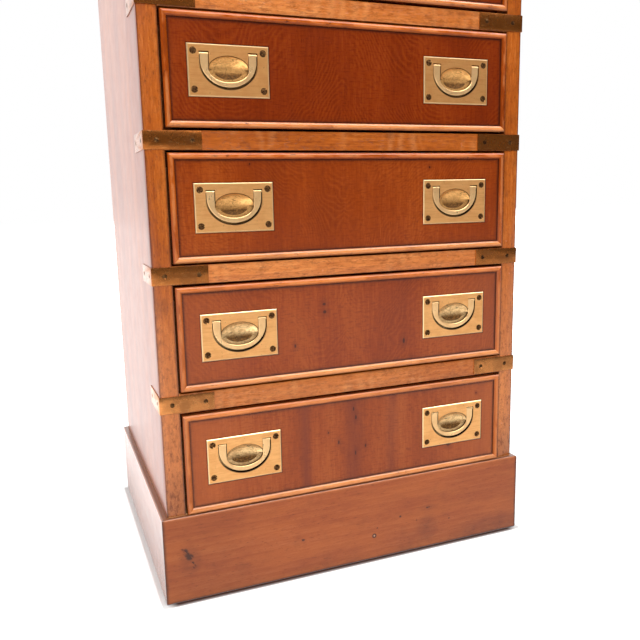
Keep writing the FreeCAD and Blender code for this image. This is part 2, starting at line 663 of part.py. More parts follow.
bail_depths = ("bail_sink", "bail_sink + bail_thickness")
bow_outside = bow_block(
    "bow_outside", "bail_width / 2", ("-bail_foot_drop", "bail_axis_rise"), "bail_bend_rise", bail_depths)
bow_inside = bow_block(
    "bow_inside", "bail_width / 2 - bail_arm", ("bail_foot - bail_foot_drop", "bail_axis_rise"),
    "cup_rise", bail_depths)
flat = bow_outside.Shape.cut(bow_inside.Shape)
bail_face = value("bail_sink")
below_hinge = value("bail_axis_rise") - value("bail_thickness") / 2
rim = [
    edge for edge in flat.Edges
    if all(same(vertex.Y, bail_face) for vertex in edge.Vertexes) and edge.BoundBox.ZMin < below_hinge
]
bow = add("Part::Feature", "bow")
bow.Shape = flat.makeFillet(value("bail_edge"), rim)
knuckles = [
    hinge_rod("left_knuckle", "bail_thickness / 2", "-bail_width / 2", "bail_arm"),
    hinge_rod("right_knuckle", "bail_thickness / 2", "bail_width / 2 - bail_arm", "bail_arm"),
    hinge_rod("left_spigot", "spigot_radius", "-bail_width / 2 - spigot_length", "spigot_length"),
    hinge_rod("right_spigot", "spigot_radius", "bail_width / 2", "spigot_length"),
]
bail = fuse("bail", [bow, *knuckles])

# ---------------------------------------------------------------------------- six drawers

plates = []
screws = []
for side, middle in PLATE_SIDES:
    plates.append(placed(f"{side}_plate", [handle_plate], middle, PLATE_FACE, PLATE_LEVEL))
    for index, (across, up) in enumerate(SCREW_SPOTS):
        slot = Rotation(Vector(0, 1, 0), len(screws) * SLOT_STEP)
        spot = (f"{middle} + {across}", PLATE_FACE, f"{PLATE_LEVEL} + {up}")
        screws.append(placed(f"{side}_plate_screw_{index}", [plate_screw], *spot, slot))
for number in range(1, DRAWER_COUNT + 1):
    level = drawer_level(number)
    drawer = f"drawer_{number}"
    node(f"{drawer}_front", [drawer_front], z=level)
    node(f"{drawer}_beading", beads, z=level)
    node(f"{drawer}_box", box, z=level)
    node(f"{drawer}_handle_plates", plates, z=level)
    node(f"{drawer}_plate_screws", screws, z=level)
    for side, middle in PLATE_SIDES:
        node(f"{drawer}_{side}_bail", [bail], middle, PLATE_FACE, f"{level} + {PLATE_LEVEL}")

# ---------------------------------------------------------------------------- check and write

doc.recompute()
for thing in doc.Objects:
    if "Invalid" in thing.State or "Error" in thing.State:
        raise RuntimeError(f"{thing.Label} failed: {thing.State}")
os.makedirs("parts", exist_ok=True)
for thing in nodes:
    solids = thing.Shape.Solids
    if thing.Shape.isNull() or not thing.Shape.isValid() or not solids:
        raise RuntimeError(f"{thing.Label} isn't a sound solid")
    shape = solids[0] if len(solids) == 1 else Part.makeCompound(solids)
    shape.exportStep(f"parts/{thing.Label}.step")
    print(f"{thing.Label}: {len(solids)} solid(s), {shape.Volume / 1000:.1f} cm3")
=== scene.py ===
import json
import math

import bmesh
import bpy
from mathutils import Matrix, Vector

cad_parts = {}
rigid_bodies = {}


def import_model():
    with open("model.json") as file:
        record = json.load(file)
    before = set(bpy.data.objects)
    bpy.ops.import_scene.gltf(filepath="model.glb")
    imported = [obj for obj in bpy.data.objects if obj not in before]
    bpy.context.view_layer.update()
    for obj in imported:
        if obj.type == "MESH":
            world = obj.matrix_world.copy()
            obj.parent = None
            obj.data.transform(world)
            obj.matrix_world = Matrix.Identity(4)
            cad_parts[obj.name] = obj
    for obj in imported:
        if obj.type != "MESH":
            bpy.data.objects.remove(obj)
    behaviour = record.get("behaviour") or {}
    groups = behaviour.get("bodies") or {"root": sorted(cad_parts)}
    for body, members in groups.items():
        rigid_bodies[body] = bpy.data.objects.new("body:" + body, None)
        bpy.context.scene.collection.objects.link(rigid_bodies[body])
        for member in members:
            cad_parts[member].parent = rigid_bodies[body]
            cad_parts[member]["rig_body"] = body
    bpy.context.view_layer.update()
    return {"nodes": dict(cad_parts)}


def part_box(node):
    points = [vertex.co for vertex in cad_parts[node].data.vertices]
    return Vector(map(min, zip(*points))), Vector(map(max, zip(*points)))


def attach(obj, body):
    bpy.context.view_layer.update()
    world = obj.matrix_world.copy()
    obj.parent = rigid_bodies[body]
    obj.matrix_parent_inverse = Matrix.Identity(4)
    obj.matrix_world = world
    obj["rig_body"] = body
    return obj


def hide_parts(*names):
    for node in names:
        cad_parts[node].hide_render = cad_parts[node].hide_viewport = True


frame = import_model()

# A tall campaign chest in polished yew and cherry, with flush brass handles and brass straps.
# Metres; the same frame as the solids: floor at z = 0, drawer fronts towards -Y.

DRAWERS = range(1, 7)
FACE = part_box("left_stile")[0].y  # the carcase's front plane
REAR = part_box("left_side")[1].y
PLINTH_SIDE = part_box("plinth_right")[1].x
PLINTH_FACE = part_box("plinth_front")[0].y
PLINTH_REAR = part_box("plinth_back")[1].y
BEAD_WIDTH = 0.0075
TOUCH = 1e-5  # places nearer than this are the same

# A handle plate, from its middle.
PLATE_HALF_WIDTH = 0.0456
PLATE_HALF_HEIGHT = 0.0274
PAN_HALF_WIDTH = 0.0355  # the cast pan behind the plate
RECESS_HALF_WIDTH = 0.0326  # the bail's recess, whose lower end is half an oval
RECESS_BEND = 0.011  # where the oval starts, above the middle
RECESS_DROP = 0.0298  # from there to the oval's lowest point
RECESS_TOP = 0.0201
RECESS_FOOT = -0.0192
RECESS_DEPTH = 0.0046
CUP_HALF_WIDTH = 0.0235  # the finger cup's mouth
CUP_RISE = 0.002  # the cup's middle above the plate's
CUP_LIFT = 0.006  # the middle of the cup's curve in front of the plate
CUP_RADII = (0.02546, 0.014, 0.0155)  # of the whole curve: across, inwards and up


def shade(red, green, blue):
    """A colour from its screen values, as linear light."""
    levels = (value / 255 for value in (red, green, blue))
    return (*(v / 12.92 if v <= 0.04045 else ((v + 0.055) / 1.055) ** 2.4 for v in levels), 1.0)


# ---------------------------------------------------------------- finishes: the toolkit


class Socket:
    """One value in a node tree; arithmetic on it adds Math nodes."""

    def __init__(self, nodes, output):
        self.nodes = nodes
        self.output = output

    def _math(self, operation, first, second=0.0):
        return self.nodes.node("ShaderNodeMath", {"operation": operation}, {0: first, 1: second})

    def __add__(self, other):
        return self._math("ADD", self, other)

    def __sub__(self, other):
        return self._math("SUBTRACT", self, other)

    def __mul__(self, other):
        return self._math("MULTIPLY", self, other)

    def __pow__(self, other):
        return self._math("POWER", self, other)

    def __rsub__(self, other):
        return self._math("SUBTRACT", other, self)

    def __abs__(self):
        return self._math("ABSOLUTE", self)

    __radd__ = __add__
    __rmul__ = __mul__

    def lesser(self, other):
        return self._math("MINIMUM", self, other)

    def greater(self, other):
        return self._math("MAXIMUM", self, other)

    def __mod__(self, other):
        return self._math("FLOORED_MODULO", self, other)

    def wave(self):
        return self._math("SINE", self)


class Nodes:
    """A tree of shader nodes, and the patterns that can be worked out in it."""

    def __init__(self, tree):
        self.tree = tree

    def node(self, kind, settings=None, values=None, output=0):
        """Add a node: its settings first, then a value or a link for each socket."""
        added = self.tree.nodes.new(kind)
        for name, setting in (settings or {}).items():
            if name == "stops":
                self._set_stops(added.color_ramp, setting)
            else:
                setattr(added, name, setting)
        for name, value in (values or {}).items():
            self.feed(added.inputs[name], value)
        return Socket(self, added.outputs[output])

    def feed(self, socket, value):
        """Give a socket a value, or a link if the value comes from a node."""
        if isinstance(value, Socket):
            self.tree.links.new(value.output, socket)
        else:
            socket.default_value = value

    @staticmethod
    def _set_stops(ramp, stops):
        for index, (position, colour) in enumerate(stops):
            stop = ramp.elements[index] if index < 2 else ramp.elements.new(position)
            stop.position = position
            stop.color = colour

    def place(self, centre=(0, 0, 0), turn=(0, 0, 0), stretch=(1, 1, 1)):
        """Coordinates on the object from a centre, turned, then stretched along their own axes."""
        place = self.node("ShaderNodeTexCoord", output="Object")
        values = {"Vector": place, "Location": centre, "Rotation": turn, "Scale": stretch}
        return self.node("ShaderNodeMapping", {"vector_type": "TEXTURE"}, values)

    def split(self, place):
        """The three parts of a place, each by itself."""
        parted = self.node("ShaderNodeSeparateXYZ", values={"Vector": place})
        return [Socket(self, output) for output in parted.output.node.outputs]

    def noise(self, place, size, detail=2.0, roughness=0.5, distortion=0.0):
        """Cloudy variation between about 0.25 and 0.75, with lumps of a size in metres."""
        values = {"Vector": place, "Scale": 1 / size, "Detail": detail, "Roughness": roughness,
                  "Distortion": distortion}
        return self.node("ShaderNodeTexNoise", values=values)

    def faces_up(self, low, high):
        """0 where the surface looks up less than low, 1 where it looks up more than high."""
        normal = self.node("ShaderNodeNewGeometry", output="Normal")
        return self.ease(self.split(normal)[2], low, high)

    def ease(self, value, low, high):
        """0 at low, 1 at high, smooth between; low may be the larger."""
        values = {"Value": value, "From Min": low, "From Max": high}
        return self.node("ShaderNodeMapRange", {"interpolation_type": "SMOOTHSTEP"}, values)

    def ramp(self, value, *stops, sudden=False):
        """A colour for a value from stops of (position, colour), with steps between them if sudden."""
        added = self.node("ShaderNodeValToRGB", {"stops": stops}, {"Fac": value})
        if sudden:
            added.output.node.color_ramp.interpolation = "CONSTANT"
        return added

    def mix(self, share, colour, other):
        settings = {"data_type": "RGBA", "blend_type": "MIX"}
        return self.node("ShaderNodeMix", settings, {0: share, 6: colour, 7: other}, output=2)


class Finish(Nodes):
    """A material with one coated surface."""

    def __init__(self, name, **constants):
        self.material = bpy.data.materials.new(name)
        self.material.use_nodes = True
        super().__init__(self.material.node_tree)
        self.surface = self.tree.nodes["Principled BSDF"]
        for name, amount in constants.items():
            title = name.replace("_", " ").title().replace("Ior", "IOR")
            self.surface.inputs[title].default_value = amount

    def finish(self, colour, roughness, height=None, depth=0.0002, metallic=None):
        self.feed(self.surface.inputs["Base Color"], colour)
        self.feed(self.surface.inputs["Roughness"], roughness)
        if metallic is not None:
            self.feed(self.surface.inputs["Metallic"], metallic)
        if height is not None:
            values = {"Height": height, "Strength": 1.0, "Distance": depth}
            self.feed(self.surface.inputs["Normal"], self.node("ShaderNodeBump", values=values))
        return self.material


# ---------------------------------------------------------------- finishes: wood

UPRIGHT = (0, 0, 0)
LEVEL = (0, math.pi / 2, 0)
DEEP = (-math.pi / 2, 0, 0)


def timber(finish, grain, tones, centre=(0, 0, 0),
           drift=0.5, rings=0.25, fibre=0.35, pores=0.4, ring_width=0.007):
    """Colour and height of planed wood: drifting tone, rings, fibres and pores along the grain."""
    dark, middle, light = tones
    clouds = finish.noise(finish.place(centre, turn=grain, stretch=(1, 1, 4)), 0.05, detail=2)
    along = finish.place(centre, turn=grain, stretch=(1, 1, 14))
    ring_values = {"Vector": along, "Scale": 0.32 / ring_width, "Distortion": 5.0, "Detail": 2.0,
                   "Detail Scale": 0.6}
    growth = finish.node("ShaderNodeTexWave", {"wave_profile": "SAW"}, ring_values)
    along = finish.place(centre, turn=grain, stretch=(1, 1, 9))
    hair = finish.noise(along, 0.0021, detail=5, roughness=0.72)
    along = finish.place(centre, turn=grain, stretch=(1, 1, 5))
    pore = finish.ease(finish.noise(along, 0.0011, detail=1), 0.63, 0.73)
    tone = 0.5 + (clouds - 0.5) * (2 * drift) + (growth - 0.5) * rings + (hair - 0.5) * (2 * fibre)
    colour = finish.ramp(tone, (0.15, dark), (0.5, middle), (0.85, light))
    colour = finish.mix(pore * pores, colour, tuple(0.35 * part for part in dark[:3]) + (1,))
    return colour, hair * 0.6 + growth * 0.2 - pore


def specks(finish, across, up, spots):
    """1 within small ovals and 0 outside; each is (across, up, half width, half height), in metres."""
    found = 0.0
    for x, z, wide, high in spots:
        reach = ((across - x) * (1 / wide)) ** 2 + ((up - z) * (1 / high)) ** 2
        found = finish.ease(reach, 1.0, 0.1).greater(found)
    return found


def halo(finish, across, up, spots):
    """1 over the spots and the stain round each, fading outwards."""
    spread = 3.2
    wider = [(x, z, spread * wide, spread * high) for x, z, wide, high in spots]
    return specks(finish, across, up, wider)


def about_handle(finish):
    """How far across and up a point lies from the middle of its handle's plate."""
    x, _, z = finish.split(finish.place())
    boxes = {number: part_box(f"drawer_{number}_handle_plates") for number in (4, 5, 6)}
    levels = {number: (low.z + high.z) / 2 for number, (low, high) in boxes.items()}
    pitch = levels[4] - levels[5]
    up = (z - (levels[5] - pitch / 2)) % pitch - pitch / 2
    # the lowest drawer's handles sit a little below the others' spacing
    between = (levels[5] + levels[6]) / 2
    up = up + finish.ease(z, between + 0.001, between - 0.001) * (levels[5] - pitch - levels[6])
    return abs(x) - (boxes[6][1].x - PLATE_HALF_WIDTH), up


def dirt_and_shade_near(finish, gap, reach):
    """1 against an edge, fading to 0 at a reach from it; broken up so that it looks rubbed. It masks
    dirt, and painted shade.
    """
    rub = finish.noise(finish.place(), 0.012, detail=3, roughness=0.6)
    return finish.ease(gap + (rub - 0.5) * (0.6 * reach), reach, 0.0)


YEW_DEEP = (shade(92, 26, 2), shade(120, 41, 3), shade(150, 63, 12))
YEW = (shade(106, 36, 6), shade(136, 54, 9), shade(166, 80, 24))
YEW_WORN = (shade(112, 42, 9), shade(144, 62, 14), shade(174, 88, 32))
YEW_PALE = (shade(130, 56, 18), shade(158, 76, 27), shade(180, 98, 44))
# near-black brown for knots and dirt, and for painted shade in corners, creases and along edges
DIRT_AND_SHADE = shade(38, 18, 10)


def panel_finish(number, tones, crown, wander, figure, bands=(), knots=(), faded=0.0):
    """A drawer front's veneer: leaves matched about a join, each with rings arched over its crown.

    Crown is the arches' distance from the join, wander how far the rings stray, and figure how bold
    they are.
    """
    finish = Finish(f"drawer_{number}_veneer", specular_ior_level=0.4)
    low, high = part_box(f"drawer_{number}_front")
    x, y, z = finish.split(finish.place((0, 0, low.z)))
    on_face = finish.ease(y, low.y + 0.004, low.y + 0.002)  # 0 down the front's edges
    colour, height = timber(
        finish, UPRIGHT, tones, centre=(0.3 * number, 0, low.z),
        drift=0.3, rings=0.04, fibre=0.3, pores=0.35)
    athwart = finish.place((0.05 * number, 0, 0), turn=LEVEL, stretch=(1, 1, 6))
    cross = finish.noise(athwart, 0.0018, detail=3, roughness=0.6)
    colour = finish.mix(finish.ease(cross, 0.46, 0.7) * 0.5, colour, tones[0])

    join = -0.01
    side = abs(x - join)  # the two leaves mirror each other
    spot = finish.node("ShaderNodeCombineXYZ", values={"X": side, "Y": 0.37 * number, "Z": z * 0.8})
    arch = (((side - crown) ** 2 + 0.0003) ** 0.5) * 6.0 - z * 4.0
    field = finish.noise(spot, 0.07, detail=2.2, roughness=0.45, distortion=0.3) * wander + arch
    line = (field * 190 + finish.noise(spot, 0.014, detail=2) * 7).wave() * 0.5 + 0.5
    fade = finish.ease(finish.noise(finish.place((0.1 * number, 0, 0)), 0.04, detail=1), 0.38, 0.62)
    colour = finish.mix((line ** 3) * fade * figure, colour, tones[0])
    colour = finish.mix(((1 - line) ** 4) * fade * figure, colour, tones[2])

    if faded:
        colour = finish.mix(finish.ease(abs(x), 0.1, 0.2) * faded, colour, shade(196, 108, 52))

    # broad upright bands of darker wood
    upright = finish.place((0.21 * number, 0, 0), stretch=(1, 1, 5))
    drift = finish.noise(upright, 0.03, detail=2) * 0.016 - 0.008
    for centre, half_width, share in bands:
        near = finish.ease(abs(x + drift - centre), half_width, 0.0)
        colour = finish.mix(near * share, colour, shade(104, 42, 26))

    if knots:
        colour = finish.mix(halo(finish, x, z, knots) * 0.3, colour, shade(96, 36, 16))
        colour = finish.mix(specks(finish, x, z, knots) * 0.8, colour, DIRT_AND_SHADE)

    # dirt and painted shade in the corner under the moulding, and a painted shadow round the plates
    tall = high.z - low.z
    edge = (high.x - BEAD_WIDTH - abs(x)).lesser((z - BEAD_WIDTH).lesser(tall - BEAD_WIDTH - z))
    colour = finish.mix(dirt_and_shade_near(finish, edge, reach=0.0035) * on_face * 0.75, colour, DIRT_AND_SHADE)
    # a wider painted shade falling off from the moulding
    colour = finish.mix(finish.ease(edge, 0.012, 0.0) * 0.12, colour, shade(84, 34, 12))
    over, up = about_handle(finish)
    beside = (abs(over) - PLATE_HALF_WIDTH).greater(abs(up) - PLATE_HALF_HEIGHT)
    colour = finish.mix(dirt_and_shade_near(finish, beside, reach=0.0018) * 0.6, colour, DIRT_AND_SHADE)
    rough = 0.16 + finish.noise(finish.place(), 0.02, detail=3) * 0.1
    return finish.finish(colour, rough, height, depth=0.00008)


CHERRY = (shade(132, 56, 8), shade(172, 86, 20), shade(206, 120, 46))
CHERRY_PALE = (shade(168, 86, 30), shade(210, 124, 58), shade(236, 160, 92))
CHERRY_WARM = (shade(140, 54, 4), shade(184, 84, 12), shade(218, 118, 34))
CHERRY_DEEP = (shade(96, 32, 2), shade(146, 60, 6), shade(188, 92, 22))


def scuffed(finish, colour, amount, size=0.03):
    """Darker, worn blotches in the polish."""
    blotch = finish.noise(finish.place((0.4, 0.2, 0.1)), size, detail=4, roughness=0.65)
    return finish.mix(finish.ease(blotch, 0.54, 0.72) * amount, colour, shade(92, 44, 16))


def speckled(finish, colour, amount):
    """Small dark flecks where old polish has worn through."""
    fleck = finish.noise(finish.place((0.1, 0.5, 0.3)), 0.0018, detail=3, roughness=0.65)
    return finish.mix(finish.ease(fleck, 0.58, 0.68) * amount, colour, shade(90, 42, 16))


def pitted(finish, colour, grain, amount):
    """Fine dark streaks along the grain in worn polish."""
    along = finish.place((0.6, 0.2, 0), turn=grain, stretch=(1, 1, 3))
    grit = finish.noise(along, 0.0028, detail=3, roughness=0.7)
    return finish.mix(finish.ease(grit, 0.5, 0.64) * amount, colour, shade(96, 38, 6))


def stile_finish():
    """Straight cherry, paler and more worn low down, and dark at the foot."""
    finish = Finish("stile_cherry")
    colour, height = timber(finish, UPRIGHT, CHERRY, drift=0.4, rings=0.08, fibre=0.45, pores=0.5)
    x, y, z = finish.split(finish.place())
    low_down = finish.ease(z, 0.42, 0.2)
    colour = finish.mix(low_down * 0.4, colour, shade(222, 142, 84))
    rub = finish.noise(finish.place((0.3, 0.1, 0), stretch=(1, 1, 1.8)), 0.0042, detail=4, roughness=0.7)
    rubbed = finish.ease(rub, 0.52, 0.66) * (low_down * 0.3 + 0.3)
    colour = finish.mix(rubbed, colour, shade(110, 54, 22))
    colour = speckled(finish, scuffed(finish, colour, 0.35), 0.5)
    blotch = finish.noise(finish.place((0.2, 0, 0)), 0.02, detail=3, roughness=0.6) * 0.08
    foot = finish.ease(z - blotch, 0.13, 0.085)
    colour = finish.mix(foot * 0.35, colour, shade(110, 52, 20))
    colour = pitted(finish, colour, UPRIGHT, amount=low_down * 0.3 + foot * 0.3)
    # darker polish along the outer arris, and darker beside the drawers
    inner, outer = (corner.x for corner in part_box("right_stile"))
    gap = (abs(x) - inner).lesser((outer - abs(x)).greater(y - FACE))
    colour = finish.mix(dirt_and_shade_near(finish, gap, reach=0.0028) * 0.6, colour, DIRT_AND_SHADE)
    rough = 0.17 + finish.noise(finish.place(), 0.01, detail=3) * 0.14
    return finish.finish(colour, rough, height, depth=0.0001)


def rail_finish():
    """Each rail was sawn from its own board, so their tones differ."""
    finish = Finish("rail_cherry")
    deep, height = timber(finish, LEVEL, CHERRY, drift=0.4, rings=0.12, fibre=0.45, pores=0.5)
    pale, _ = timber(
        finish, LEVEL, CHERRY_PALE, centre=(0.2, 0.1, 0.05),
        drift=0.4, rings=0.15, fibre=0.45, pores=0.5)
    x, _, z = finish.split(finish.place())
    boards = ((0.0, 0.4), (0.3, 0.9), (0.45, 0.06), (0.6, 0.75), (0.75, 0.4))
    share = finish.ramp(z, *((start, (tone, tone, tone, 1)) for start, tone in boards), sudden=True)
    colour = finish.mix(share * (1 - finish.ease(x, 0.0, 0.22) * 0.35), deep, pale)
    rub = finish.noise(finish.place((0.3, 0.1, 0), stretch=(3, 1, 1)), 0.004, detail=4, roughness=0.7)
    colour = finish.mix(finish.ease(rub, 0.52, 0.68) * 0.25, colour, shade(124, 60, 22))
    # a ripple across the grain that catches the light
    ripple = (x * 420 + finish.noise(finish.place(), 0.03, detail=2) * 9).wave() * 0.5 + 0.5
    patch = finish.ease(finish.noise(finish.place((0.7, 0, 0)), 0.06, detail=1), 0.48, 0.62)
    colour = finish.mix(ripple * patch * 0.18, colour, shade(238, 166, 100))
    colour = pitted(finish, scuffed(finish, colour, 0.3, size=0.02), LEVEL, amount=0.35)
    rough = 0.17 + finish.noise(finish.place(), 0.01, detail=3) * 0.14
    return finish.finish(colour, rough, height, depth=0.0001)


def bead_finish(name, grain, tones, along, shine=0.3):
    """A half-round moulding, nicked, with painted shade at its root and, when level, on its
    downward-facing half; it runs along x for 0 or z for 2.
    """
    finish = Finish(name, specular_ior_level=shine)
    colour, height = timber(finish, grain, tones, drift=0.45, rings=0.08, fibre=0.3, pores=0.4)
    place = finish.split(finish.place())
    crest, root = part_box("drawer_3_beading")[0].y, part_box("drawer_3_front")[0].y
    stretch = (3, 1, 1) if along == 0 else (1, 1, 3)
    dents = finish.noise(finish.place(stretch=stretch), 0.0035, detail=2, roughness=0.6)
    nick = finish.ease(dents, 0.66, 0.73)
    colour = finish.mix(nick * 0.75, colour, shade(70, 30, 12))
    wear_and_reflection = finish.noise(finish.place(stretch=stretch), 0.012, detail=3, roughness=0.6)
    colour = finish.mix(finish.ease(wear_and_reflection, 0.5, 0.7) * 0.4, colour, shade(104, 46, 16))
    rubbed = finish.ease(place[1], crest + 0.0008, crest) * finish.ease(wear_and_reflection, 0.6, 0.4)
    colour = finish.mix(rubbed * 0.3, colour, shade(232, 158, 98))
    low_down = finish.ease(place[2], 0.5, 0.25)
    if along == 2:
        colour = finish.mix(low_down * 0.3, colour, shade(230, 130, 56))
    else:
        colour = finish.mix(low_down * 0.3, colour, shade(240, 162, 102))
        # painted shade on the downward-facing half
        under = 1 - finish.faces_up(-0.75, -0.1)
        colour = finish.mix(under * 0.4, colour, shade(92, 36, 10))
    # painted shade in the crease at the root
    colour = finish.mix(finish.ease(abs(place[1] - root), 0.002, 0.0004) * 0.8, colour, DIRT_AND_SHADE)
    rough = 0.1 + finish.noise(finish.place(), 0.008, detail=3) * 0.12
    return finish.finish(colour, rough, height - nick, depth=0.0001)


# Across the plinth's front and up it, as specks takes them.
PLINTH_KNOTS = (
    (-0.2225, 0.0635, 0.0042, 0.0052), (-0.2175, 0.056, 0.006, 0.0052), (-0.2205, 0.0595, 0.004, 0.0045),
    (-0.2125, 0.043, 0.0026, 0.0034), (-0.2145, 0.0475, 0.0024, 0.003), (-0.226, 0.066, 0.0025, 0.003),
    (-0.075, 0.0475, 0.0036, 0.0018), (-0.136, 0.034, 0.0018, 0.0016), (0.105, 0.057, 0.0042, 0.0016),
    (0.029, 0.0425, 0.0016, 0.0013), (0.063, 0.052, 0.0022, 0.002), (0.088, 0.042, 0.002, 0.0014),
    (0.138, 0.035, 0.0016, 0.0014),
)
PLINTH_SMUDGES = (
    (0.104, 0.028, 0.02, 0.026), (-0.217, 0.052, 0.016, 0.024), (0.105, 0.057, 0.02, 0.005),
    (0.21, 0.008, 0.08, 0.024),
)
PLINTH_RING = ((0.0245, 0.0325, 0.004, 0.004),)  # a knot with a pale eye
PLINTH_EYE = ((0.0245, 0.0325, 0.0017, 0.0017),)


def plinth_finish(name, grain, across):
    """Plinth boards with long level grain and a scatter of knots; across is 0 for x or 1 for y."""
    finish = Finish(name)
    colour, height = timber(
        finish, grain, YEW_PALE, drift=0.3, rings=0.12, fibre=0.34, pores=0.4, ring_width=0.011)
    parts = finish.split(finish.place())
    run, z = parts[across], parts[2]
    colour = finish.mix(finish.ease(run, -0.08, -0.2) * 0.2, colour, shade(96, 44, 16))
    warm = finish.noise(finish.place(turn=grain, stretch=(1, 1, 5)), 0.018, detail=3)
    colour = finish.mix(finish.ease(warm, 0.42, 0.66) * 0.22, colour, shade(192, 104, 40))
    colour = speckled(finish, scuffed(finish, colour, 0.25, size=0.05), 0.25)
    smoke = finish.noise(finish.place(turn=grain, stretch=(1, 1, 2)), 0.006, detail=3, roughness=0.6)
    colour = finish.mix(specks(finish, run, z, PLINTH_SMUDGES) * smoke * 0.55, colour, shade(84, 36, 18))
    hatch = finish.noise(finish.place(turn=(0, -0.7, 0), stretch=(1, 1, 4)), 0.0032, detail=2)
    scribble = specks(finish, run, z, PLINTH_KNOTS) * finish.ease(hatch, 0.36, 0.52)
    colour = finish.mix(scribble * 0.85, colour, DIRT_AND_SHADE)
    colour = finish.mix(specks(finish, run, z, PLINTH_RING), colour, DIRT_AND_SHADE)
    colour = finish.mix(specks(finish, run, z, PLINTH_EYE) * 0.8, colour, shade(205, 150, 110))
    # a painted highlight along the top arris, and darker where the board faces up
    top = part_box("plinth_front")[1].z
    colour = finish.mix(finish.ease(z, top - 0.0035, top - 0.0005) * 0.45, colour, shade(214, 132, 80))
    colour = finish.mix(finish.faces_up(0.5, 0.9) * 0.8, colour, shade(116, 70, 44))
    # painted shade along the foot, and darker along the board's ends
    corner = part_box("plinth_right")[1]
    off_side, off_face = corner.x - abs(parts[0]), corner.y - abs(parts[1])
    end = off_side if across == 0 else off_face.greater(off_side)
    arris = z.lesser(end)
    colour = finish.mix(dirt_and_shade_near(finish, arris, reach=0.0045) * 0.75, colour, DIRT_AND_SHADE)
    rough = 0.17 + finish.noise(finish.place(), 0.015, detail=3) * 0.12
    return finish.finish(colour, rough, height, depth=0.00008)


def board_finish(name, grain, tones, rough=0.2, depth=0.00014, shine=0.5, **layers):
    """A plain board; the layers are timber's."""
    finish = Finish(name, specular_ior_level=shine)
    colour, height = timber(finish, grain, tones, **layers)
    colour = scuffed(finish, colour, 0.2, size=0.05)
    rough = rough + finish.noise(finish.place(), 0.02, detail=3) * 0.1
    return finish.finish(colour, rough, height, depth=depth)


# ---------------------------------------------------------------- finishes: brass


def around_bail(finish, colour):
    """Painted highlights along a plate's edges, and a painted shadow round the bail's recess."""
    over, up = about_handle(finish)
    edge = (PLATE_HALF_WIDTH - abs(over)).lesser(PLATE_HALF_HEIGHT - abs(up))
    colour = finish.mix(finish.ease(edge, 0.0018, 0.0009) * 0.75, colour, shade(255, 222, 166))
    below = (up - RECESS_BEND).lesser(0.0)
    bow = ((over * (1 / RECESS_HALF_WIDTH)) ** 2 + (below * (1 / RECESS_DROP)) ** 2) ** 0.5
    beyond = (bow - 1) * RECESS_DROP
    ring = finish.ease(beyond, 0.0016, 0.0005) * finish.ease(up, 0.013, -0.008)
    return finish.mix(ring * 0.95, colour, shade(26, 14, 6))


def brass_finish(name, bright, dull, rough, metal=0.7, streak=LEVEL,
                 tarnish_and_shade=0.4, pits=0.0, sides=0.0, shine=0.5, depth=0.00003, rub=0.55):
    """Lacquered cast brass: file marks along one way, a drift of tarnish, and pits.

    A bail's sides are painted dark as shade; a plate has none, and has painted highlights on its edges
    and a painted shadow round its bail.
    """
    finish = Finish(name, specular_ior_level=shine)
    marks = finish.noise(finish.place(turn=streak, stretch=(1, 1, 12)), 0.0024, detail=5, roughness=0.75)
    clouds = finish.noise(finish.place((0.3, 0.1, 0.2)), 0.014, detail=4, roughness=0.6)
    fine = finish.noise(finish.place(), 0.0028, detail=3, roughness=0.6)
    pit = finish.ease(fine, 0.64, 0.74)
    colour = finish.mix(finish.ease(clouds, 0.4, 0.66) * tarnish_and_shade, bright, dull)
    colour = finish.mix(finish.ease(marks, 0.42, 0.66) * rub, colour, dull)
    colour = finish.mix(pit * (0.35 + pits), colour, shade(70, 42, 20))
    if sides:
        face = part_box("drawer_3_left_bail")[0].y
        inward = finish.split(finish.place())[1]
        painted_side_shade = finish.ease(inward, face + 0.0009, face + 0.0016) * sides
        colour = finish.mix(painted_side_shade, colour, shade(24, 14, 6))
        metallic = (clouds * 0.1 + metal) * (1 - painted_side_shade)
    else:
        high_up = finish.ease(finish.split(finish.place())[2], 0.52, 0.6)
        colour = finish.mix(high_up * 0.3, colour, shade(190, 120, 58))
        colour = around_bail(finish, colour)
        metallic = clouds * 0.1 + metal
    roughness = rough + (marks - 0.5) * (0.4 * rub) + clouds * 0.1 + pit * 0.2
    height = marks * 0.5 - pit * (1 + 2 * pits)
    return finish.finish(colour, roughness, height, depth=depth, metallic=metallic)


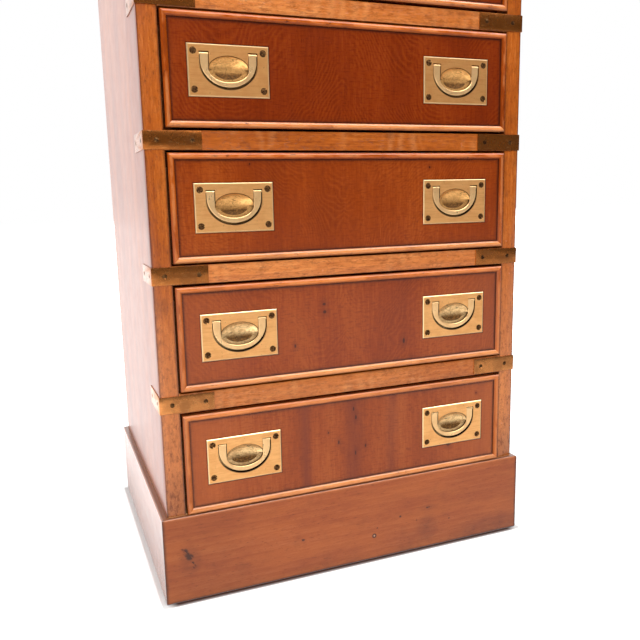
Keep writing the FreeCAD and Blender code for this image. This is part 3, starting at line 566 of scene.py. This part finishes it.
def cup_finish():
    """The finger cup: rough from the casting, its upward-facing floor painted dark as a painted
    reflection of the dark room above, with tarnish in its grit.
    """
    finish = Finish("cup_brass", specular_ior_level=0.05)
    lumps = finish.noise(finish.place(stretch=(1.8, 1, 1)), 0.004, detail=3, roughness=0.6)
    across = finish.place((0.1, 0.1, 0.1), stretch=(1.5, 1, 1))
    grit = finish.noise(across, 0.0016, detail=4, roughness=0.7)
    across = finish.place((0.2, 0, 0), stretch=(2.5, 1, 1))
    fold = abs(finish.noise(across, 0.009, detail=2, roughness=0.5) - 0.5)
    crease = finish.ease(fold, 0.02, 0.0) * finish.ease(lumps, 0.42, 0.56)
    hollow = finish.ease(lumps * 0.5 + grit * 0.5, 0.55, 0.42)
    low_down = finish.ease(finish.split(finish.place())[2], 0.46, 0.38)
    bright = finish.mix(low_down * 0.8, shade(238, 180, 110), shade(255, 218, 160))
    colour = finish.mix(hollow * 0.5, bright, shade(168, 114, 60))
    colour = finish.mix(crease * 0.7, colour, shade(70, 42, 18))
    # painted dark reflection where the cup's floor faces up
    floor = finish.faces_up(-0.2, 0.35)
    tarnish_and_shade = finish.mix(finish.ease(grit, 0.42, 0.64), shade(58, 34, 10), shade(112, 72, 28))
    colour = finish.mix(floor * 0.97, colour, tarnish_and_shade)
    inward = finish.split(finish.place())[1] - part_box("drawer_3_handle_plates")[0].y
    colour = finish.mix(finish.ease(inward, 0.0014, 0.0005) * 0.85, colour, shade(50, 29, 11))
    height = lumps + grit * 0.4 - crease * 0.3
    metallic = (0.85 - hollow * 0.2) * (1 - floor * 0.95)
    rough = 0.3 + hollow * 0.15 + floor * 0.2
    return finish.finish(colour, rough, height, depth=0.0003, metallic=metallic)


def bronze_finish():
    """The straps: clouded dark with age, darker up the chest and yellower towards its foot as painted
    reflection of the dark room and the bright floor, with fine pale streaks.
    """
    finish = Finish("strap_bronze")
    clouds = finish.noise(finish.place((0.1, 0.3, 0.2)), 0.018, detail=4, roughness=0.65)
    fine = finish.noise(finish.place(turn=LEVEL, stretch=(1, 1, 5)), 0.0016, detail=3, roughness=0.65)
    z = finish.split(finish.place())[2]
    # painted reflection: darker high up, yellower low down
    wear_and_reflection = finish.ease(z, 0.45, 0.22)
    colour = finish.mix(wear_and_reflection, shade(156, 88, 32), shade(198, 128, 70))
    colour = finish.mix(finish.ease(clouds, 0.42, 0.64) * 0.45, colour, shade(104, 60, 26))
    colour = finish.mix(finish.ease(fine, 0.56, 0.7) * 0.3, colour, shade(206, 150, 92))
    height = fine * 0.5 + clouds * 0.3
    return finish.finish(colour, 0.2 + clouds * 0.14, height, depth=0.00005, metallic=0.9 - clouds * 0.2)


def screw_finish():
    """Dark, dull brass."""
    finish = Finish("screw_dark_brass", metallic=1.0)
    clouds = finish.noise(finish.place(), 0.0022, detail=3, roughness=0.6)
    colour = finish.mix(finish.ease(clouds, 0.5, 0.7), shade(98, 66, 40), shade(150, 108, 66))
    colour = finish.mix(finish.ease(clouds, 0.5, 0.36), colour, shade(48, 28, 16))
    return finish.finish(colour, 0.42 + clouds * 0.15, clouds, depth=0.0001)


# ---------------------------------------------------------------- pieces


def hold(piece):
    """Make a piece the one that Blender's operators work on."""
    bpy.ops.object.select_all(action="DESELECT")
    piece.select_set(True)
    bpy.context.view_layer.objects.active = piece


def remade(node, title, solid_at=lambda point: 0):
    """A copy of a node's mesh with its loose triangles joined.

    Where solids touch, solid_at names the one that holds a point, so that each stays closed.
    """
    source = frame["nodes"][node]
    piece = bpy.data.objects.new(title, source.data.copy())
    bpy.context.scene.collection.objects.link(piece)
    piece.data.materials.clear()
    hold(piece)
    bpy.ops.mesh.customdata_custom_splitnormals_clear()
    bpy.ops.object.mode_set(mode="EDIT")
    bpy.ops.mesh.select_all(action="SELECT")
    mesh = bmesh.from_edit_mesh(piece.data)
    mesh.normal_update()
    solids = {}
    for face in mesh.faces:
        just_inside = face.calc_center_median() - face.normal * 0.0001
        solids.setdefault(solid_at(just_inside), set()).update(face.verts)
    for corners in solids.values():
        ordered = sorted(corners, key=lambda vertex: vertex.index)
        bmesh.ops.remove_doubles(mesh, verts=ordered, dist=2e-6)
    bmesh.update_edit_mesh(piece.data)
    bpy.ops.mesh.dissolve_limited(angle_limit=math.radians(0.5))
    bpy.ops.mesh.select_all(action="DESELECT")
    bpy.ops.object.mode_set(mode="OBJECT")
    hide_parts(node)
    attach(piece, source["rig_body"])
    return piece


def round_edges(piece, width, chosen, segments=3):
    """Round the long, sharp edges that the test chooses from their two ends."""
    hold(piece)
    bpy.ops.object.mode_set(mode="EDIT")
    bpy.ops.mesh.select_mode(type="EDGE")
    mesh = bmesh.from_edit_mesh(piece.data)
    for edge in mesh.edges:
        one, other = (vertex.co for vertex in edge.verts)
        sharp = len(edge.link_faces) == 2 and edge.calc_face_angle(0) > math.radians(40)
        edge.select = sharp and chosen(one, other)
    bmesh.update_edit_mesh(piece.data)
    bpy.ops.mesh.bevel(offset=width, segments=segments, profile=0.5, affect="EDGES", clamp_overlap=False)
    bpy.ops.object.mode_set(mode="OBJECT")


def smooth(piece, degrees=35):
    """Shade a piece smoothly across edges less sharp than this."""
    hold(piece)
    bpy.ops.object.shade_smooth_by_angle(angle=math.radians(degrees))


def paint(piece, *materials):
    """Give a remade piece its materials in place of those it has."""
    piece.data.materials.clear()
    for material in materials:
        piece.data.materials.append(material)


def coat_node(node, material):
    """Give a node that keeps its shape a better finish."""
    for slot in frame["nodes"][node].material_slots:
        slot.material = material


# ---------------------------------------------------------------- carcase

stile_cherry = stile_finish()
rail_cherry = rail_finish()
# the moulding's cherry in three copies as painted light: paler on the lower mouldings as a painted
# highlight, darker on the uprights as painted shade from the light above
cherry_painted_lit = (CHERRY_WARM[1], CHERRY_PALE[1], CHERRY_PALE[2])
upper_bead = bead_finish("moulding_upper_cherry", LEVEL, CHERRY_WARM, along=0)
lower_bead = bead_finish("moulding_lower_cherry", LEVEL, cherry_painted_lit, along=0, shine=0.5)
upright_bead = bead_finish("moulding_upright_cherry", UPRIGHT, CHERRY_DEEP, along=2)
yew_sunned = (YEW_WORN[0], YEW_WORN[1], YEW_PALE[2])
side_yew = board_finish(
    "side_yew", UPRIGHT, yew_sunned, rough=0.3, depth=0.00003, shine=0.66,
    drift=0.35, rings=0.25, fibre=0.25, ring_width=0.012)
top_yew = board_finish(
    "top_yew", LEVEL, YEW, rough=0.16, depth=0.00008, drift=0.35, rings=0.08, fibre=0.3, ring_width=0.02)
plain_deal = (shade(172, 120, 72), shade(202, 150, 98), shade(222, 175, 126))
aged_deal = (shade(124, 74, 38), shade(160, 102, 60), shade(188, 130, 86))
level_deal = board_finish("level_deal", LEVEL, plain_deal, rough=0.6, rings=0.15, ring_width=0.02)
deep_deal = board_finish("deep_deal", DEEP, plain_deal, rough=0.6, rings=0.12, ring_width=0.03)
upright_deal = board_finish(
    "upright_deal", UPRIGHT, aged_deal, rough=0.62, drift=0.7, rings=0.16, fibre=0.5, ring_width=0.04)


def long_edge(one, other, least=0.006):
    return (one - other).length > least


def is_foremost(one, other, front):
    """Whether an edge lies in a front plane."""
    return max(one.y, other.y) < front + TOUCH


for side in ("left", "right"):
    for part, finish, slot in (("stile", stile_cherry, "stile_wood"), ("side", side_yew, "side_wood")):
        node = f"{side}_{part}"
        low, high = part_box(node)
        outside = max(abs(low.x), abs(high.x))

        def outer_arris(one, other):
            """Whether an edge stands at the carcase's outer front or back corner."""
            at_end = one.y < FACE + TOUCH or one.y > REAR - TOUCH
            upright = long_edge(one, other, 0.05) and abs(one.z - other.z) > 0.05
            return upright and abs(abs(one.x) - outside) < TOUCH and at_end

        piece = remade(node, f"{node}_planed")
        round_edges(piece, width=0.0004, chosen=outer_arris)
        smooth(piece)
        paint(piece, finish, side_yew)
        # the side's veneer runs over the stile's outer face
        for face in piece.data.polygons:
            faces_out = abs(face.normal.x) > 0.9 and abs(face.center.x) > outside - TOUCH
            face.material_index = int(faces_out)

rails = remade("drawer_rails", "drawer_rails_planed")
round_edges(rails, width=0.0005, chosen=lambda one, other: (
    long_edge(one, other) and is_foremost(one, other, FACE)))
smooth(rails)
paint(rails, rail_cherry)

TOP_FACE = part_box("top_board")[1].z
TOP_WITHIN = (0.2375, 0.178)  # half the width and depth of the upper face inside its rim


def top_arris(one, other):
    """Whether an edge runs round the top board's upper face, and not within it."""
    half_width, half_depth = TOP_WITHIN
    within = all(abs(end.x) < half_width and abs(end.y) < half_depth for end in (one, other))
    return long_edge(one, other) and min(one.z, other.z) > TOP_FACE - TOUCH and not within


top_board = remade("top_board", "top_board_planed")
round_edges(top_board, width=0.0012, chosen=top_arris)
smooth(top_board)
paint(top_board, top_yew)


def plinth_foot(one, other):
    """Whether an edge runs along the plinth's outer edge on the floor."""
    at_side = min(abs(one.x), abs(other.x)) > PLINTH_SIDE - TOUCH
    on_floor = long_edge(one, other, 0.1) and max(one.z, other.z) < TOUCH
    return on_floor and (at_side or is_foremost(one, other, PLINTH_FACE))


plinth_level = plinth_finish("plinth_yew", LEVEL, across=0)
plinth_deep = plinth_finish("plinth_side_yew", DEEP, across=1)
for side, finish in (("front", plinth_level), ("left", plinth_deep), ("right", plinth_deep)):
    piece = remade(f"plinth_{side}", f"plinth_{side}_planed")
    round_edges(piece, width=0.0025, chosen=plinth_foot)
    smooth(piece)
    paint(piece, finish)
coat_node("plinth_back", level_deal)
coat_node("plinth_blocks", upright_deal)
coat_node("bottom_board", level_deal)
coat_node("back_panel", upright_deal)
coat_node("drawer_runners", deep_deal)
coat_node("drawer_guides", deep_deal)

# ---------------------------------------------------------------- straps and screws

bronze = bronze_finish()
screw_brass = screw_finish()
for node, title in (("brass_straps", "brass_straps_filed"), ("brass_corners", "brass_corners_filed")):
    piece = remade(node, title)
    round_edges(piece, width=0.0002, chosen=lambda one, other: long_edge(one, other), segments=2)
    smooth(piece)
    paint(piece, bronze)
coat_node("strap_screws", screw_brass)

# ---------------------------------------------------------------- drawers

plate_brass = brass_finish(
    "plate_brass", shade(248, 184, 114), shade(226, 154, 88), rough=0.3, metal=0.66)
bail_brass = brass_finish(
    "bail_brass", shade(248, 202, 144), shade(222, 164, 104), rough=0.24, metal=0.6, streak=UPRIGHT,
    tarnish_and_shade=0.3, sides=0.95, shine=0.0, depth=0.00001, rub=0.1)
# the recess is near black: tarnish, and painted shade deep in the bail's recess
recess_brass = brass_finish(
    "recess_tarnish", shade(34, 21, 11), shade(18, 12, 7), rough=0.7, metal=0.0,
    tarnish_and_shade=0.8, pits=0.3, shine=0.0)
cup_brass = cup_finish()

# Knots as specks takes them, and bands as (across, half width, share).
KNOTS_4 = (
    (-0.125, 0.108, 0.0012, 0.0014), (0.107, 0.103, 0.0016, 0.002), (0.098, 0.045, 0.0016, 0.0022),
)
KNOTS_5 = (
    (-0.038, 0.0885, 0.0028, 0.0022), (-0.0375, 0.079, 0.003, 0.0028), (-0.0765, 0.0405, 0.0016, 0.003),
    (0.0705, 0.033, 0.0022, 0.0045),
)
KNOTS_6 = (
    (-0.001, 0.1005, 0.0014, 0.0035), (0.002, 0.089, 0.0017, 0.004), (-0.022, 0.0595, 0.0015, 0.0035),
    (0.015, 0.0495, 0.0015, 0.003), (-0.036, 0.074, 0.001, 0.002), (0.138, 0.0325, 0.0036, 0.0036),
    (0.001, 0.042, 0.0012, 0.004), (0.181, 0.0985, 0.0012, 0.0015),
)
BANDS_6 = ((-0.066, 0.013, 0.5), (-0.001, 0.02, 0.42), (0.052, 0.016, 0.38), (0.19, 0.014, 0.2))
VENEERS = {
    1: panel_finish(1, YEW_DEEP, crown=0.08, wander=0.4, figure=0.2),
    2: panel_finish(2, YEW_DEEP, crown=0.0, wander=0.6, figure=0.2),
    3: panel_finish(3, YEW_DEEP, crown=0.14, wander=0.4, figure=0.22),
    4: panel_finish(4, YEW, crown=0.0, wander=0.7, figure=0.18, knots=KNOTS_4),
    5: panel_finish(5, YEW, crown=0.03, wander=0.6, figure=0.16, knots=KNOTS_5, faded=0.16),
    6: panel_finish(
        6, YEW_WORN, crown=0.2, wander=0.3, figure=0.05, bands=BANDS_6, knots=KNOTS_6, faded=0.25),
}


def in_cup(x, inward, z):
    """Whether a point, from the middle of a plate's face, lies on the finger cup."""
    wide, deep, high = CUP_RADII
    reach = (x / wide) ** 2 + ((inward + CUP_LIFT) / deep) ** 2 + ((z - CUP_RISE) / high) ** 2
    return inward > 0.0003 and abs(x) < CUP_HALF_WIDTH and reach < 1.02


def in_recess(x, inward, z):
    """Whether a point, from the middle of a plate's face, lies in the bail's recess."""
    return 0.0002 < inward < RECESS_DEPTH and abs(x) < PAN_HALF_WIDTH and RECESS_FOOT < z < RECESS_TOP


for number in DRAWERS:
    drawer = f"drawer_{number}"
    coat_node(f"{drawer}_front", VENEERS[number])
    coat_node(f"{drawer}_box", deep_deal)
    coat_node(f"{drawer}_plate_screws", screw_brass)
    for side in ("left", "right"):
        coat_node(f"{drawer}_{side}_bail", bail_brass)

    low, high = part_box(f"{drawer}_beading")

    def is_upright(point):
        """Whether a point of the moulding lies in one of its uprights, and not above or below."""
        return high.x - abs(point.x) < min(point.z - low.z, high.z - point.z)

    beading = remade(f"{drawer}_beading", f"{drawer}_beading_scraped", is_upright)
    smooth(beading)
    paint(beading, upper_bead, lower_bead, upright_bead)
    for face in beading.data.polygons:
        lower = face.center.z - low.z < high.z - face.center.z
        face.material_index = 2 if is_upright(face.center) else int(lower)

    low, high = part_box(f"{drawer}_handle_plates")
    plates = remade(f"{drawer}_handle_plates", f"{drawer}_handle_plates_filed")
    smooth(plates, degrees=28)
    paint(plates, plate_brass, recess_brass, cup_brass)
    for face in plates.data.polygons:
        x = abs(face.center.x) - (high.x - PLATE_HALF_WIDTH)
        inward = face.center.y - low.y
        z = face.center.z - (low.z + high.z) / 2
        if in_cup(x, inward, z):
            face.material_index = 2
        elif in_recess(x, inward, z):
            face.material_index = 1

# ---------------------------------------------------------------- floor, light and camera


def area_lamp(name, place, aim, size, power, lights=True, mirrored=False):
    lamp = bpy.data.objects.new(name, bpy.data.lights.new(name, "AREA"))
    lamp.data.shape = "RECTANGLE"
    lamp.data.size, lamp.data.size_y = size
    lamp.data.energy = power
    lamp.location = place
    lamp.rotation_euler = (Vector(aim) - Vector(place)).to_track_quat("-Z", "Y").to_euler()
    lamp.visible_diffuse = lights
    lamp.visible_glossy = mirrored
    bpy.context.scene.collection.objects.link(lamp)


bpy.ops.mesh.primitive_plane_add(size=30, location=(0, 0, 0))
floor = bpy.context.object
floor.name = "floor"
white = Finish("floor_white", roughness=0.9, specular_ior_level=0.1)
seen = white.node("ShaderNodeLightPath", output="Is Camera Ray")
mirrored = white.node("ShaderNodeLightPath", output="Is Glossy Ray")
across, away, _ = white.split(white.place())
past_end = abs(across) - PLINTH_SIDE
in_front = PLINTH_FACE - away

# the floor shines by itself: plain white to the camera, brighter in reflections behind the chest
behind = white.ease(away, 0.1, 0.6).greater(white.ease(across, -0.24, -0.3))
lit = white.ease(away, -5.0, -2.4) * 0.9 + 0.1 + behind * 1.3
seen_white = 3.5
glow_values = {"Color": (1, 1, 1, 1), "Strength": seen * (seen_white - lit) + lit}
glow = white.node("ShaderNodeEmission", values=glow_values)

# where the chest's shadow falls, it is plain paint, with a painted contact shadow along the plinth's
# front
painted_shadow_reach = white.ease(abs(in_front), 0.012, 0.0) * white.ease(past_end, 0.001, -0.014)
floor_paint_with_shadow = white.mix(painted_shadow_reach, (0.86, 0.86, 0.86, 1), shade(70, 36, 20))
white.feed(white.surface.inputs["Base Color"], floor_paint_with_shadow)
beside = white.ease(past_end.greater(in_front).greater(away - PLINTH_REAR), 0.016, 0.004)
near = white.ease((across ** 2 + away ** 2) ** 0.5, 0.9, 0.4) * 0.8
shadowed = near.greater(beside)

surface = Socket(white, white.surface.outputs["BSDF"])
glow_share = seen * (1 - shadowed) + mirrored
blended = white.node("ShaderNodeMixShader", values={0: glow_share, 1: surface, 2: glow})
white.feed(white.tree.nodes["Material Output"].inputs["Surface"], blended)
paint(floor, white.material)

world = bpy.data.worlds.new("studio")
bpy.context.scene.world = world
world.use_nodes = True
sky = Nodes(world.node_tree)
direction = sky.split(sky.node("ShaderNodeTexCoord", output="Generated"))
back = sky.ease(direction[1], 0.0, 0.3) * sky.ease(direction[2], 0.85, 0.5)
camera_ray = sky.node("ShaderNodeLightPath", output="Is Camera Ray")
glossy_ray = sky.node("ShaderNodeLightPath", output="Is Glossy Ray")
ambient = 0.42
reflected = back * 1.75 + 0.04
strength = ambient * (1 - glossy_ray) + glossy_ray * reflected
strength = strength * (1 - camera_ray) + camera_ray
background = world.node_tree.nodes["Background"]
sky.feed(background.inputs["Color"], (1, 1, 1, 1))
sky.feed(background.inputs["Strength"], strength)

area_lamp("key_softbox", place=(-0.6, -2.2, 1.9), aim=(0, 0, 0.45), size=(1.6, 1.6), power=46)
area_lamp("top_softbox", place=(0.35, -1.0, 2.4), aim=(0, -0.1, 0.4), size=(2.0, 1.0), power=20)
area_lamp(
    "overhead_sheen", place=(0.5, -0.8, 2.4), aim=(0.5, -0.8, 0), size=(3.0, 2.8), power=210,
    lights=False, mirrored=True)
area_lamp("side_softbox", place=(-2.2, 0.6, 1.2), aim=(-0.2, 0, 0.5), size=(1.4, 1.6), power=18)

# The camera that took the photograph, fitted to the chest's edges and to the plates' corners.
YAW, PITCH, ROLL = 0.37671, 0.17506, -0.02196
CAMERA_PLACE = (-0.35380, FACE - 0.78489, 0.47440)
FOCAL_LENGTH = 706.83  # in pixels
PICTURE_WIDTH = 640  # in pixels
SENSOR_WIDTH = 36
forward = Vector((math.sin(YAW) * math.cos(PITCH), math.cos(YAW) * math.cos(PITCH), -math.sin(PITCH)))
right = Vector((math.cos(YAW), -math.sin(YAW), 0))
up = right.cross(forward)
turned_right = right * math.cos(ROLL) + up * math.sin(ROLL)
turned_up = up * math.cos(ROLL) - right * math.sin(ROLL)
camera = bpy.data.objects.new("camera", bpy.data.cameras.new("camera"))
bpy.context.scene.collection.objects.link(camera)
axes = Matrix((turned_right, turned_up, -forward)).transposed()
camera.matrix_world = Matrix.Translation(CAMERA_PLACE) @ axes.to_4x4()
camera.data.sensor_width = SENSOR_WIDTH
camera.data.lens = FOCAL_LENGTH * SENSOR_WIDTH / PICTURE_WIDTH
bpy.context.scene.camera = camera
bpy.context.scene.view_settings.view_transform = "Standard"
